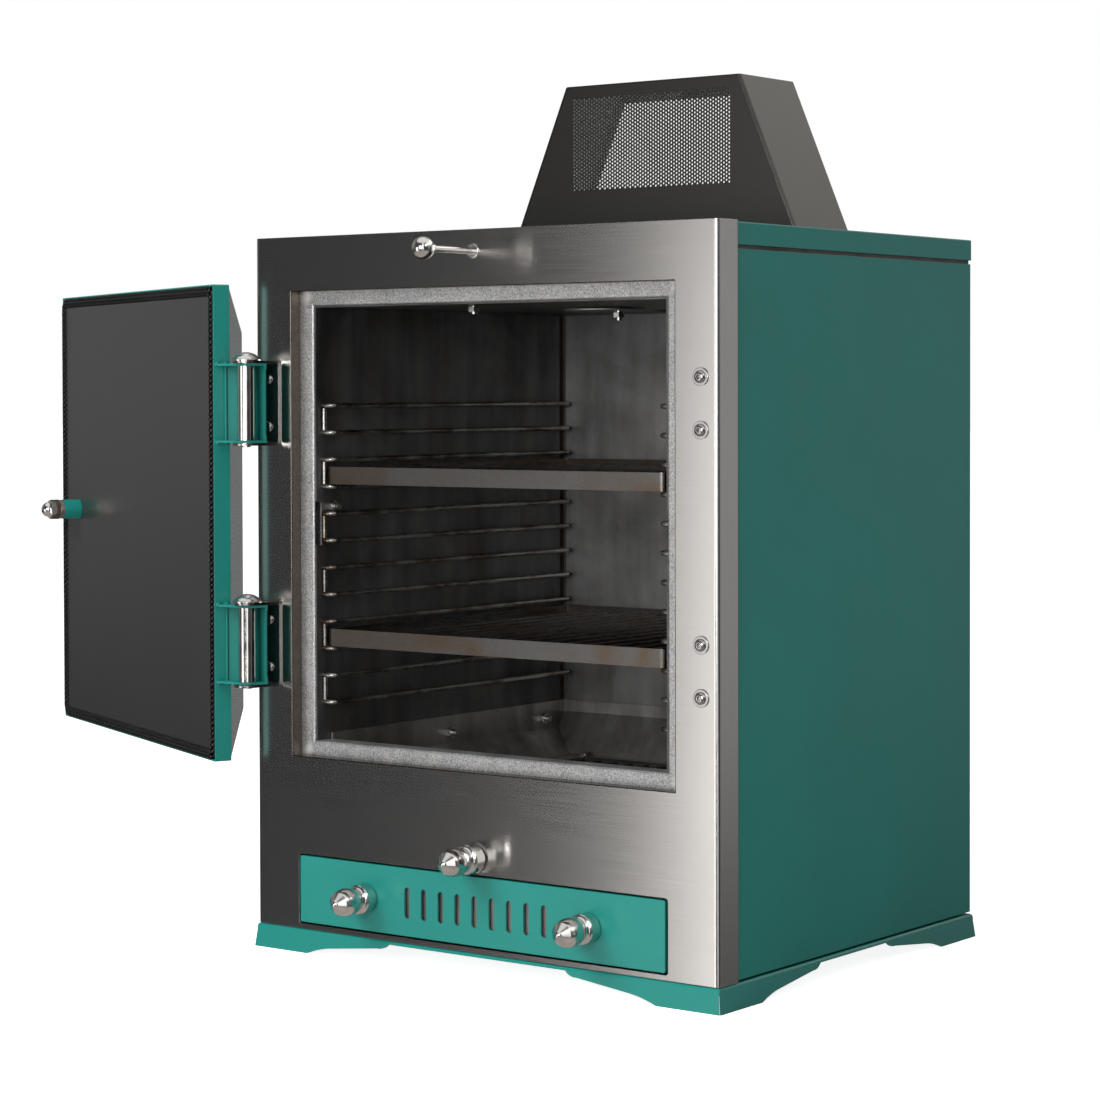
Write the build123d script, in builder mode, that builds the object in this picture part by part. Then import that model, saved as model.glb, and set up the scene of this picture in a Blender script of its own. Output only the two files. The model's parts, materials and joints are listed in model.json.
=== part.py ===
from build123d import *
from math import asin, cos, sin, sqrt
import os

# Charcoal cabinet oven and smoker: an insulated steel body with a stainless facade, a side-hung
# door, rack runners, a fire-bed over an ash drawer, a flue damper and a spark hood.
# Millimetres. +Z is up, the facade faces -Y, +X is to the right of someone facing the facade.
# The origin is on the floor under the centre of the body.

# ---- driving dimensions -------------------------------------------------------------------
BODY_W = 700.0
BODY_D = 586.0
FRONT = -BODY_D / 2
BACK = BODY_D / 2
HALF_W = BODY_W / 2

FACADE_Z0 = 30.0
FACADE_Z1 = 894.0
FACADE_T = 2.0
FACADE_RETURN = 39.0
FACADE_BEND = 6.0

DOOR_Z = 536.0  # height of the door's and the mouth's centre
MOUTH_HALF = 290.0  # half side of the square mouth in the facade
RECESS = 17.5  # depth of the mouth before the door seat
SEAT_TUBE = 25.0
SEAT_WALL = 2.0
CAVITY_HALF = 266.0
CAVITY_TOP = 806.0
SILL_Z = 264.5
CAVITY_BACK = 245.0
LINER_T = 2.0
LINER_FRONT = FRONT + RECESS + 1.5

KEEPER_HALF_H = 27.5
KEEPER_DEPTH = 11.0

HINGE_X = -333.0
HINGE_Y = FRONT - 35.5
HINGE_OFFSET_Z = 151.0  # each hinge above and below the door's centre
BOLT_X = 326.0
BOLT_PITCH = 60.0
DOOR_OPEN = 205.6  # the door is built shut and then swung open by this angle

DOOR_HALF = 300.0
DOOR_BACK = FRONT - 4.5  # the door's rim, facing the facade when shut
BAND_DEPTH = 21.5
BAND_T = 2.0
ROPE_W = 12.0
SLOPE_IN = 57.0
SLOPE_OUT = 40.0
SKIN_T = 1.5

LATCH_X = 232.0
LATCH_REACH = 44.0
BOSS_L = 24.5
CAM_T = 5.5
SPINDLE_R = 8.0

WIRE_R = 3.0
WIRE_X = 248.7
WIRE_TOP = 683.7
WIRE_PITCH = 33.8
WIRE_COUNT = 12
WIRE_FRONT = -262.0
WIRE_BACK = 235.5

RACK_HALF = 256.0
RACK_FRONT = -265.0
RACK_BACK = 238.0
RACK_H = 22.0
RACK_T = 3.0
ROD_COUNT = 15
ROD_PITCH = 32.0
UPPER_RACK_WIRE = 3  # the wire that each rack rests on, counted from the top
LOWER_RACK_WIRE = 9

FLUE_Y = 141.0
FLUE_R = 35.0
FLUE_WALL = 3.0
DAMPER_Z = 868.0
DAMPER_ROD_R = 4.0
DAMPER_TRAVEL = 72.0
DAMPER_BALL_Y = -386.0

HOOD_FRONT = 76.0
HOOD_D = 130.0
HOOD_TOP_HALF = 137.0
HOOD_BASE_HALF = 225.0
CAP_Z0 = 866.5
CAP_Z1 = 892.5
HOOD_Z1 = 1101.0
HOOD_T = 1.5
WINDOW_HALF = 123.0
WINDOW_Z0 = 963.0
WINDOW_Z1 = 1085.0

WRAP_HALF = 347.9
WRAP_Z0 = 32.0
WRAP_Z1 = 861.8
WRAP_T = 1.5
REAR_R = 3.0
DECK_Z = 852.0

PLINTH_H = 29.5
PLINTH_FLARE = 3.4
PLINTH_T = 3.0

DRAWER_HALF = 277.0
DRAWER_Z0 = 38.5
DRAWER_Z1 = 121.5
DRAWER_KNOB_X = 169.0
DRAWER_KNOB_Z = 79.0
DRAWER_GAP = 3.0
DRAWER_FLOOR = 38.0  # underside of the tray, which slides on two skids
RIDDLE_Z = 144.0
BASE_Z = 32.0
BASE_T = 2.0

FLOOR_Z = 200.0  # top of the fire-bed's floor is one plate thickness higher
BED_T = 3.0

HINGE_HEIGHTS = {"upper": DOOR_Z + HINGE_OFFSET_Z, "lower": DOOR_Z - HINGE_OFFSET_Z}
SEAT_FACE = FRONT + RECESS
CAM_BACK = DOOR_BACK + BOSS_L
DAMPER_FRONT = FLUE_Y - FLUE_R - DAMPER_TRAVEL - 7
SKIN_BASE = DOOR_BACK - BAND_DEPTH
SKIN_TOP = SKIN_BASE - SLOPE_OUT

os.makedirs("parts", exist_ok=True)


# ---- helpers ------------------------------------------------------------------------------
def save(part, name):
    """Label a finished piece and write it as its own STEP file."""
    part.label = name
    export_step(part, f"parts/{name}.step")


def hang(part):
    """Swing a piece of the shut door out to the open position."""
    return part.rotate(Axis((HINGE_X, HINGE_Y, 0), (0, 0, 1)), -DOOR_OPEN)


def block(x0, x1, y0, y1, z0, z1, mode=Mode.ADD):
    """Add or cut a box given by its limits."""
    with Locations(((x0 + x1) / 2, (y0 + y1) / 2, (z0 + z1) / 2)):
        Box(x1 - x0, y1 - y0, z1 - z0, mode=mode)


def rod_y(x, z, y0, y1, radius, mode=Mode.ADD):
    """Add or cut a round bar along Y."""
    with Locations((x, (y0 + y1) / 2, z)):
        Cylinder(radius, y1 - y0, rotation=(90, 0, 0), mode=mode)


def rod_z(x, y, z0, z1, radius, mode=Mode.ADD):
    """Add or cut a round bar along Z."""
    with Locations((x, y, (z0 + z1) / 2)):
        Cylinder(radius, z1 - z0, mode=mode)


def wire_z(index):
    """Height of a runner wire, counted from the top."""
    return WIRE_TOP - WIRE_PITCH * index


def rack_z(index):
    """Underside of a rack that rests on the given wire."""
    return wire_z(index) + WIRE_R + 0.2


# ---- body ---------------------------------------------------------------------------------
def facade():
    depth = FACADE_RETURN
    height = FACADE_Z1 - FACADE_Z0
    aperture_half = DRAWER_HALF + DRAWER_GAP
    with BuildPart() as pan:
        with BuildSketch(Plane.XY.offset(FACADE_Z0)):
            with Locations((0, FRONT + depth / 2)):
                Rectangle(BODY_W, depth)
        extrude(amount=height)
        fillet(pan.edges().filter_by(Axis.Z).group_by(Axis.Y)[0], FACADE_BEND)
        inner = HALF_W - FACADE_T
        with BuildSketch(Plane.XY.offset(FACADE_Z0 + FACADE_T)):
            with Locations((0, FRONT + FACADE_T + depth / 2)):
                hollow = Rectangle(2 * inner, depth)
            fillet(hollow.vertices().group_by(Axis.Y)[0], FACADE_BEND - FACADE_T)
        extrude(amount=height - 2 * FACADE_T, mode=Mode.SUBTRACT)
        # folded reveal round the mouth, back to the door seat
        outer = MOUTH_HALF + FACADE_T
        block(-outer, outer, FRONT, SEAT_FACE - 0.5, DOOR_Z - outer, DOOR_Z + outer)
        block(-MOUTH_HALF, MOUTH_HALF, FRONT - 1, SEAT_FACE, DOOR_Z - MOUTH_HALF,
              DOOR_Z + MOUTH_HALF, Mode.SUBTRACT)
        with BuildSketch(Plane.XZ.offset(-FRONT + 1)):
            with Locations((0, (DRAWER_Z0 + DRAWER_Z1) / 2)):
                RectangleRounded(2 * aperture_half, DRAWER_Z1 - DRAWER_Z0 + 2 * DRAWER_GAP - 1, 4)
        extrude(amount=-4, mode=Mode.SUBTRACT)
        for side in (-1, 1):
            for z in HINGE_HEIGHTS.values():
                for dz in (-BOLT_PITCH / 2, BOLT_PITCH / 2):
                    rod_y(side * BOLT_X, z + dz, FRONT - 1, FRONT + 3, 4.1, Mode.SUBTRACT)
        rod_y(0, DAMPER_Z, FRONT - 1, FRONT + 3, 7.0, Mode.SUBTRACT)
        rod_y(0, RIDDLE_Z, FRONT - 1, FRONT + 3, 4.1, Mode.SUBTRACT)
        front_face = pan.faces().sort_by(Axis.Y)[0]
        mouth = front_face.inner_wires().sort_by(SortBy.LENGTH)[-1]
        fillet(mouth.edges(), 1.2)
    save(pan.part, "facade")


def seat_frame():
    """Square tube ring that the liner is welded into, with a latch keeper slot in each jamb."""
    inner = CAVITY_HALF + LINER_T
    outer = inner + SEAT_TUBE
    top = CAVITY_TOP + LINER_T
    with BuildPart() as ring:
        block(-outer, outer, SEAT_FACE, SEAT_FACE + SEAT_TUBE, SILL_Z - SEAT_TUBE, top + SEAT_TUBE)
        block(-inner, inner, SEAT_FACE - 1, SEAT_FACE + SEAT_TUBE + 1, SILL_Z, top, Mode.SUBTRACT)
        fillet(ring.faces().sort_by(Axis.Y)[0].edges(), 3.0)
        wall = SEAT_WALL
        with BuildSketch(Plane.XZ.offset(-(SEAT_FACE + wall))):
            with Locations((0, (SILL_Z + top) / 2)):
                Rectangle(2 * (outer - wall), top - SILL_Z + 2 * (SEAT_TUBE - wall))
                Rectangle(2 * (inner + wall), top - SILL_Z + 2 * wall, mode=Mode.SUBTRACT)
        extrude(amount=-(SEAT_TUBE - 2 * wall), mode=Mode.SUBTRACT)
        for side in (-1, 1):
            x0, x1 = sorted((side * (inner - 1), side * (inner + wall + 1)))
            block(x0, x1, SEAT_FACE + wall, SEAT_FACE + wall + KEEPER_DEPTH,
                  DOOR_Z - KEEPER_HALF_H, DOOR_Z + KEEPER_HALF_H, Mode.SUBTRACT)
    save(ring.part, "seat_frame")


def liner():
    """Bare steel plates of the cooking chamber, with a narrow gap at the rear corners."""
    for side, name in ((-1, "liner_left"), (1, "liner_right")):
        x0, x1 = sorted((side * CAVITY_HALF, side * (CAVITY_HALF + LINER_T)))
        with BuildPart() as wall:
            block(x0, x1, LINER_FRONT, 236, FLOOR_Z, CAVITY_TOP)
            block(x0 - 1, x1 + 1, SEAT_FACE, SEAT_FACE + SEAT_WALL + KEEPER_DEPTH,
                  DOOR_Z - KEEPER_HALF_H, DOOR_Z + KEEPER_HALF_H, Mode.SUBTRACT)
            block(x0 - 1, x1 + 1, SEAT_FACE, SEAT_FACE + SEAT_TUBE + 0.5, FLOOR_Z - 1, SILL_Z,
                  Mode.SUBTRACT)
            for y, z in ((-245, 557), (-15, 250), (190, 250)):
                with Locations((side * (CAVITY_HALF + 1), y, z)):
                    Cylinder(4.1, 6, rotation=(0, 90, 0), mode=Mode.SUBTRACT)
        save(wall.part, name)
    with BuildPart() as back:
        block(-262, 262, CAVITY_BACK, CAVITY_BACK + LINER_T, FLOOR_Z, CAVITY_TOP)
    save(back.part, "liner_back")
    with BuildPart() as ceiling:
        half = CAVITY_HALF + LINER_T
        block(-half, half, LINER_FRONT, CAVITY_BACK + LINER_T, CAVITY_TOP, CAVITY_TOP + LINER_T)
        rod_z(0, FLUE_Y, CAVITY_TOP - 1, CAVITY_TOP + 3, FLUE_R + FLUE_WALL, Mode.SUBTRACT)
    save(ceiling.part, "liner_ceiling")


def insulation():
    """Mineral wool slabs between the liner and the outer skin."""
    with BuildPart() as wool:
        for side in (-1, 1):
            x0, x1 = sorted((side * 270, side * 346))
            block(x0, x1, -248, 280, 40, 850)
        block(-269, 269, 249, 288, 40, 850)
        block(-269, 269, -248, 248, 809, 850)
        rod_z(0, FLUE_Y, 808, 851, FLUE_R + FLUE_WALL + 1, Mode.SUBTRACT)
    save(wool.part, "insulation")


def body_wrap():
    """Painted outer sheet, one piece round both sides and the back."""
    with BuildPart() as wrap:
        with BuildSketch(Plane.XY.offset(WRAP_Z0)):
            for inset, mode in ((0, Mode.ADD), (WRAP_T, Mode.SUBTRACT)):
                half, back = WRAP_HALF - inset, BACK - inset
                with BuildLine():
                    FilletPolyline((-half, -285), (-half, back), (half, back), (half, -285),
                                   radius=REAR_R - inset)
                    Line((half, -285), (-half, -285))
                make_face(mode=mode)
        extrude(amount=WRAP_Z1 - WRAP_Z0)
    save(wrap.part, "body_wrap")


def deck():
    """Inset tray over the insulation with the damper's guides; its upstand is the neck."""
    with BuildPart() as tray:
        block(-345.5, 345.5, -250, 290, DECK_Z, 872)
        block(-344, 344, -248.5, 288.5, DECK_Z + 1.5, 873, Mode.SUBTRACT)
        rod_z(0, FLUE_Y, DECK_Z - 1, DECK_Z + 3, FLUE_R + FLUE_WALL + 0.5, Mode.SUBTRACT)
        rod_y(0, DAMPER_Z, -251, -247, DAMPER_ROD_R + 1.5, Mode.SUBTRACT)
        for side in (-1, 1):
            x0, x1 = sorted((side * 41, side * 50))
            block(x0, x1, DAMPER_FRONT + 4, FLUE_Y + 45, DECK_Z + 1, CAP_Z0 + 7)
            x0, x1 = sorted((side * 40, side * 44.4))
            block(x0, x1, DAMPER_FRONT, FLUE_Y + 50, DAMPER_Z - 2.4, DAMPER_Z + 0.4, Mode.SUBTRACT)
    save(tray.part, "deck")


def cap_lid():
    with BuildPart() as lid:
        block(-349, 349, FRONT + FACADE_RETURN + 1, BACK, CAP_Z0, CAP_Z1)
        fillet(lid.edges().filter_by(Axis.Z).group_by(Axis.Y)[-1], REAR_R)
        fillet(lid.faces().sort_by(Axis.Z)[-1].edges(), 2.0)
        block(-347.5, 347.5, FRONT + FACADE_RETURN + 2.5, BACK - 1.5, CAP_Z0 - 1, CAP_Z1 - 1.5,
              Mode.SUBTRACT)
        rod_z(0, FLUE_Y, CAP_Z1 - 3, CAP_Z1 + 1, FLUE_R + FLUE_WALL + 0.5, Mode.SUBTRACT)
        rod_y(0, DAMPER_Z, -255, -249, DAMPER_ROD_R + 1.5, Mode.SUBTRACT)
    save(lid.part, "cap_lid")


def base_plate():
    """Floor of the body: pads that stand on the plinth, and guides and skids for the drawer."""
    with BuildPart() as base:
        block(-343, 343, -290, 287, BASE_Z, BASE_Z + BASE_T)
        for x in (-310, 310):
            for y in (-225, 250):
                rod_z(x, y, PLINTH_H, BASE_Z, 20)
        for side in (-1, 1):
            x0, x1 = sorted((side * 265, side * 267))
            block(x0, x1, -284, 195, BASE_Z + BASE_T, 62)
            x0, x1 = sorted((side * 244, side * 256))
            block(x0, x1, -284, 195, BASE_Z + BASE_T, DRAWER_FLOOR - 0.2)
    save(base.part, "base_plate")


def foot_arch(length):
    """Outline under one side of the plinth, between its two bracket feet."""
    foot, toe, shoulder, rise = 88.0, 128.0, 202.0, 219.0
    half = length / 2
    with BuildLine() as outline:
        for side in (-1, 1):
            ThreePointArc((side * (half - foot), 0), (side * (half - foot - 18), 6),
                          (side * (half - toe), 10))
            Line((side * (half - toe), 10), (side * (half - shoulder), 18.5))
            ThreePointArc((side * (half - shoulder), 18.5), (side * (half - rise + 6), 20.5),
                          (side * (half - rise), 25))
            Line((side * (half - foot), 0), (side * (half - foot), -2))
        Line((-(half - rise), 25), (half - rise, 25))
        Line((-(half - foot), -2), (half - foot, -2))
    make_face(outline.edges())


def plinth():
    """Flared upside-down tray with bracket feet and an open mitre at each corner."""
    width, depth = BODY_W + 2 * PLINTH_FLARE, BODY_D + 2 * PLINTH_FLARE
    with BuildPart() as tray:
        for inset, top, mode in ((0, PLINTH_H, Mode.ADD),
                                 (PLINTH_T, PLINTH_H - PLINTH_T, Mode.SUBTRACT)):
            lean = PLINTH_FLARE * top / PLINTH_H
            with BuildSketch():
                Rectangle(width - 2 * inset, depth - 2 * inset)
            with BuildSketch(Plane.XY.offset(top)):
                Rectangle(width - 2 * (inset + lean), depth - 2 * (inset + lean))
            loft(mode=mode)
            if mode is Mode.ADD:
                fillet(tray.faces().sort_by(Axis.Z)[-1].edges(), 4.0)
        with BuildSketch(Plane.XZ.offset(-depth)):
            foot_arch(width)
        extrude(amount=2 * depth, mode=Mode.SUBTRACT)
        with BuildSketch(Plane.YZ.offset(-width)):
            foot_arch(depth)
        extrude(amount=2 * width, mode=Mode.SUBTRACT)
        for x in (-1, 1):
            for y in (-1, 1):
                with Locations(Location((x * width / 2, y * depth / 2, 10), (0, 0, 45 * x * y))):
                    Box(16, 1.2, 24, mode=Mode.SUBTRACT)
    save(tray.part, "plinth")


# ---- fire-bed and ash drawer --------------------------------------------------------------
def hopper(inset, floor, mode):
    """Funnel shape of the fire-bed: an upright rim over four slopes, smaller by the inset."""
    levels = ((272.0, 265.0, -249.0, 243.5), (256.0, 265.0, -249.0, 243.0),
              (235.0, 265.0, -233.0, 229.0), (floor, 228.0, -205.0, 205.0))
    rings = []
    for z, half, front, back in levels:
        with BuildSketch(Plane.XY.offset(z)) as ring:
            with Locations((0, (front + back) / 2)):
                Rectangle(2 * (half - inset), back - front - 2 * inset)
        rings.append(ring.sketch)
    loft(rings, ruled=True, mode=mode)


def firebed():
    """Bare plates that funnel the charcoal to the grate, with guides under the floor plate."""
    with BuildPart() as bed:
        hopper(0, FLOOR_Z, Mode.ADD)
        hopper(BED_T, FLOOR_Z + BED_T, Mode.SUBTRACT)
        block(-262, 262, -250, -245, SILL_Z - 3, 273, Mode.SUBTRACT)
        block(-125, 125, -105, 105, FLOOR_Z - 1, FLOOR_Z + BED_T + 1, Mode.SUBTRACT)
        for side in (-1, 1):
            x0, x1 = sorted((side * 126, side * 129))
            block(x0, x1, -110, 150, FLOOR_Z - 8, FLOOR_Z)
            x0, x1 = sorted((side * 116, side * 127))
            block(x0, x1, -110, 150, FLOOR_Z - 8, FLOOR_Z - 5)
    save(bed.part, "firebed_plates")


def fire_grate():
    z0 = FLOOR_Z + BED_T
    with BuildPart() as grate:
        block(-140, 140, -120, 120, z0, z0 + 10)
        with Locations((0, 0, z0 + 5)):
            with GridLocations(26, 0, 10, 1):
                Box(14, 200, 12, mode=Mode.SUBTRACT)
    save(grate.part, "fire_grate")


def riddling_gear():
    """Slotted plate under the grate, and its pull rod with the knob."""
    with BuildPart() as slide:
        block(-124, 124, -112, 104, FLOOR_Z - 4, FLOOR_Z - 1)
        with Locations((0, 0, FLOOR_Z - 2.5)):
            with GridLocations(0, 26, 1, 7):
                Box(210, 14, 6, mode=Mode.SUBTRACT)
        block(-20, 20, -112, -110, RIDDLE_Z - 10, FLOOR_Z - 4)
    save(slide.part, "riddling_plate")
    with BuildPart() as rod:
        rod_y(0, RIDDLE_Z, FRONT - 1.5, -112, DAMPER_ROD_R)
    save(rod.part, "riddling_rod")
    save(bullet_knob(0, RIDDLE_Z, FRONT - 1.5), "riddling_knob")


def bullet_knob(x, z, base_y):
    """Turned steel knob: cylinder, round groove and slightly pointed nose, pointing to -Y."""
    barrel_r, barrel_l, groove_r, neck_r, nose_r = 18.2, 18.0, 13.4, 15.4, 17.4
    neck, swell, taper, taper_r, tip_start = -27.0, -38.5, -52.0, 13.6, -59.0
    tip_r, tip_edge = 6.5, 5.5
    tip_centre = tip_start + sqrt(tip_r ** 2 - tip_edge ** 2)
    half_angle = asin(tip_edge / tip_r) / 2
    with BuildPart() as knob:
        with BuildSketch(Plane.YZ):
            with BuildLine():
                Polyline((0, 0), (0, barrel_r - 1.5), (-1.5, barrel_r), (2 - barrel_l, barrel_r),
                         (-barrel_l, barrel_r - 1))
                ThreePointArc((-barrel_l, barrel_r - 1), ((neck - barrel_l) / 2, groove_r),
                              (neck, neck_r))
                ThreePointArc((neck, neck_r), (swell, nose_r), (taper, taper_r))
                Line((taper, taper_r), (tip_start, tip_edge))
                ThreePointArc((tip_start, tip_edge),
                              (tip_centre - tip_r * cos(half_angle), tip_r * sin(half_angle)),
                              (tip_centre - tip_r, 0))
                Line((tip_centre - tip_r, 0), (0, 0))
            make_face()
        revolve(axis=Axis.Y)
    return knob.part.moved(Location((x, base_y, z)))


def ash_drawer():
    half, back, floor, rim = 262.0, 190.0, DRAWER_FLOOR, 112.0
    wall_y = FRONT + 4.5
    with BuildPart() as tray:
        block(-half, half, wall_y + 2, back, floor, rim)
        block(-half + 1.5, half - 1.5, wall_y + 3.5, back - 1.5, floor + 1.5, rim + 1,
              Mode.SUBTRACT)
        block(-272, 272, wall_y, wall_y + 2, DRAWER_Z0 + 2, DRAWER_Z1 - 2)
    save(tray.part, "drawer_tray")
    with BuildPart() as front:
        with BuildSketch(Plane.XZ.offset(-FRONT + 1.5)):
            with Locations((0, (DRAWER_Z0 + DRAWER_Z1) / 2)):
                RectangleRounded(2 * DRAWER_HALF, DRAWER_Z1 - DRAWER_Z0, 2.5)
        extrude(amount=-6)
        block(-DRAWER_HALF + 2, DRAWER_HALF - 2, FRONT + 1.5, FRONT + 5, DRAWER_Z0 + 2,
              DRAWER_Z1 - 2, Mode.SUBTRACT)
        fillet(front.faces().sort_by(Axis.Y)[0].edges(), 0.8)
        with BuildSketch(Plane.XZ.offset(-FRONT + 2)):
            with Locations((0, DRAWER_KNOB_Z)):
                with GridLocations(26, 0, 9, 1):
                    SlotOverall(38, 8, rotation=90)
        extrude(amount=-4, mode=Mode.SUBTRACT)
    save(front.part, "drawer_front")
    for side, name in ((-1, "drawer_knob_left"), (1, "drawer_knob_right")):
        save(bullet_knob(side * DRAWER_KNOB_X, DRAWER_KNOB_Z, FRONT - 1.5), name)


# ---- chamber fittings ---------------------------------------------------------------------
def runners():
    """Twelve wires a side, hooked to the wall at both ends and tied in pairs at the front."""
    hook_x = CAVITY_HALF - WIRE_R - 0.2
    for side, name in ((-1, "runners_left"), (1, "runners_right")):
        with BuildPart() as rack_wires:
            for index in range(WIRE_COUNT):
                z = wire_z(index)
                wall = side * CAVITY_HALF
                with BuildLine() as path:
                    FilletPolyline((wall, WIRE_FRONT, z), (side * WIRE_X, WIRE_FRONT, z),
                                   (side * WIRE_X, WIRE_BACK, z), (wall, WIRE_BACK, z), radius=9)
                with BuildSketch(Plane(origin=(wall, WIRE_FRONT, z), z_dir=(-side, 0, 0))):
                    Circle(WIRE_R)
                sweep(path=path.wires()[0])
                if index % 2:
                    rod_z(side * hook_x, WIRE_FRONT, z + WIRE_R, wire_z(index - 1) - WIRE_R, WIRE_R)
        save(rack_wires.part, name)


def rack(index, name):
    z0 = rack_z(index)
    with BuildPart() as grid:
        block(-RACK_HALF, RACK_HALF, RACK_FRONT, RACK_BACK, z0, z0 + RACK_H)
        fillet(grid.edges().filter_by(Axis.Z), 6.0)
        block(-RACK_HALF + RACK_T, RACK_HALF - RACK_T, RACK_FRONT + RACK_T, RACK_BACK - RACK_T,
              z0 - 1, z0 + RACK_H + 1, Mode.SUBTRACT)
        for step in range(ROD_COUNT):
            x = (step - (ROD_COUNT - 1) / 2) * ROD_PITCH
            rod_y(x, z0 + RACK_H - 10, RACK_FRONT + RACK_T - 0.5, RACK_BACK - RACK_T + 0.5, 3)
    save(grid.part, name)


def hexagon_z(x, y, z0, z1, flats):
    """Add a hexagonal prism standing along Z."""
    with BuildSketch(Plane.XY.offset(z0)) as profile:
        with Locations((x, y)):
            RegularPolygon(flats / 2, 6, major_radius=False)
    extrude(profile.sketch, amount=z1 - z0)


def ceiling_fittings():
    """Heat baffle disc under the ceiling, its bolt, and one more ceiling bolt."""
    with BuildPart() as disc:
        rod_z(7, -35, 802, 804, 50)
        rod_z(22, -25, 801, 805, 4, Mode.SUBTRACT)
    save(disc.part, "heat_baffle")
    with BuildPart() as bolts:
        for x, y, end, nut in ((22, -25, 790, 793.5), (-67, -206, 796, 798.5)):
            rod_z(x, y, end, CAVITY_TOP, 4)
            hexagon_z(x, y, nut, nut + 6.5, 13)
    save(bolts.part, "ceiling_bolts")


def liner_bolts():
    """Hexagon-headed bolts through the side plates and one in the fire-bed's floor."""
    with BuildPart() as bolts:
        for side in (-1, 1):
            for y, z in ((-245, 557), (-15, 250), (190, 250)):
                inset = CAVITY_HALF if z > 300 else CAVITY_HALF - 1 - BED_T
                with BuildSketch(Plane(origin=(side * inset, y, z), z_dir=(-side, 0, 0))):
                    RegularPolygon(6.5, 6, major_radius=False)
                extrude(amount=6)
                with BuildSketch(Plane(origin=(side * (inset - 6), y, z), z_dir=(-side, 0, 0))):
                    Circle(4)
                extrude(amount=7)
            hexagon_z(side * 189, 190, FLOOR_Z + BED_T, FLOOR_Z + BED_T + 5, 13)
    save(bolts.part, "liner_bolts")


# ---- flue, damper and hood ----------------------------------------------------------------
def flue():
    """Flue pipe from the chamber's ceiling into the hood, slotted for the damper plate."""
    with BuildPart() as pipe:
        rod_z(0, FLUE_Y, CAVITY_TOP, 930, FLUE_R + FLUE_WALL)
        rod_z(0, FLUE_Y, CAVITY_TOP - 1, 931, FLUE_R, Mode.SUBTRACT)
        block(-FLUE_R - 5, FLUE_R + 5, FLUE_Y - FLUE_R - 5, FLUE_Y + FLUE_R + 1.5,
              DAMPER_Z - 2.5, DAMPER_Z + 0.5, Mode.SUBTRACT)
    save(pipe.part, "flue_pipe")


def damper():
    """Slide plate across the flue, and the pull rod with its ball and bush."""
    plate_y0 = DAMPER_FRONT
    with BuildPart() as plate:
        block(-44, 44, plate_y0, FLUE_Y - FLUE_R - 1, DAMPER_Z - 2, DAMPER_Z)
        block(-15, 15, plate_y0, plate_y0 + 2, DAMPER_Z, DAMPER_Z + 5)
    save(plate.part, "damper_plate")
    with BuildPart() as rod:
        rod_y(0, DAMPER_Z, DAMPER_BALL_Y + 13, plate_y0, DAMPER_ROD_R)
    save(rod.part, "damper_rod")
    with BuildPart() as ball:
        with Locations((0, DAMPER_BALL_Y, DAMPER_Z)):
            Sphere(13.5)
        rod_y(0, DAMPER_Z, DAMPER_BALL_Y + 8, DAMPER_BALL_Y + 17, 6)
        rod_y(0, DAMPER_Z, DAMPER_BALL_Y + 13, DAMPER_BALL_Y + 18, DAMPER_ROD_R, Mode.SUBTRACT)
    save(ball.part, "damper_ball")
    with BuildPart() as bush:
        rod_y(0, DAMPER_Z, FRONT, FRONT + 6, 7)
        rod_y(0, DAMPER_Z, FRONT - 1.5, FRONT, 9)
        fillet(bush.faces().sort_by(Axis.Y)[0].edges(), 1.0)
        rod_y(0, DAMPER_Z, FRONT - 3, FRONT + 7, DAMPER_ROD_R + 0.1, Mode.SUBTRACT)
    save(bush.part, "damper_bush")


def hood():
    """Tapered hood with a perforated window in front and an open back inside a rim."""
    slope = (HOOD_BASE_HALF - HOOD_TOP_HALF) / (HOOD_Z1 - CAP_Z1)
    rim, rim_side = 12.0, 10.0
    with BuildPart() as shell:
        for inset, mode in ((0, Mode.ADD), (HOOD_T, Mode.SUBTRACT)):
            top = HOOD_Z1 - inset
            foot = CAP_Z1 if inset == 0 else CAP_Z1 - 5
            base_half = HOOD_BASE_HALF - inset + (CAP_Z1 - foot) * slope
            with BuildSketch(Plane.XZ.offset(-(HOOD_FRONT + inset))):
                with BuildLine():
                    Polyline((-base_half, foot), (-HOOD_TOP_HALF + inset, top),
                             (HOOD_TOP_HALF - inset, top), (base_half, foot), close=True)
                make_face()
            extrude(amount=-(HOOD_D - 2 * inset), mode=mode)
            if inset == 0:
                side_edges = shell.edges().filter_by(GeomType.LINE).filter_by(
                    lambda e: abs(e.tangent_at(0).X) < 0.9 and abs(e.tangent_at(0).Y) < 0.1)
                fillet(side_edges, 5.0)
                fillet(shell.faces().sort_by(Axis.Z)[-1].edges(), 2.0)
        block(-WINDOW_HALF, WINDOW_HALF, HOOD_FRONT - 5, HOOD_FRONT + 5, WINDOW_Z0, WINDOW_Z1,
              Mode.SUBTRACT)
        low_half = HOOD_BASE_HALF - rim * slope - rim_side
        high_half = HOOD_TOP_HALF + rim * slope - rim_side
        with BuildSketch(Plane.XZ.offset(-(HOOD_FRONT + HOOD_D + 1))):
            with BuildLine():
                Polyline((-low_half, CAP_Z1 + rim), (-high_half, HOOD_Z1 - rim),
                         (high_half, HOOD_Z1 - rim), (low_half, CAP_Z1 + rim), close=True)
            make_face()
        extrude(amount=5, mode=Mode.SUBTRACT)
    save(shell.part, "hood_shell")
    with BuildPart() as mesh:
        block(-WINDOW_HALF, WINDOW_HALF, HOOD_FRONT, HOOD_FRONT + HOOD_T, WINDOW_Z0, WINDOW_Z1)
    save(mesh.part, "hood_mesh")


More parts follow.
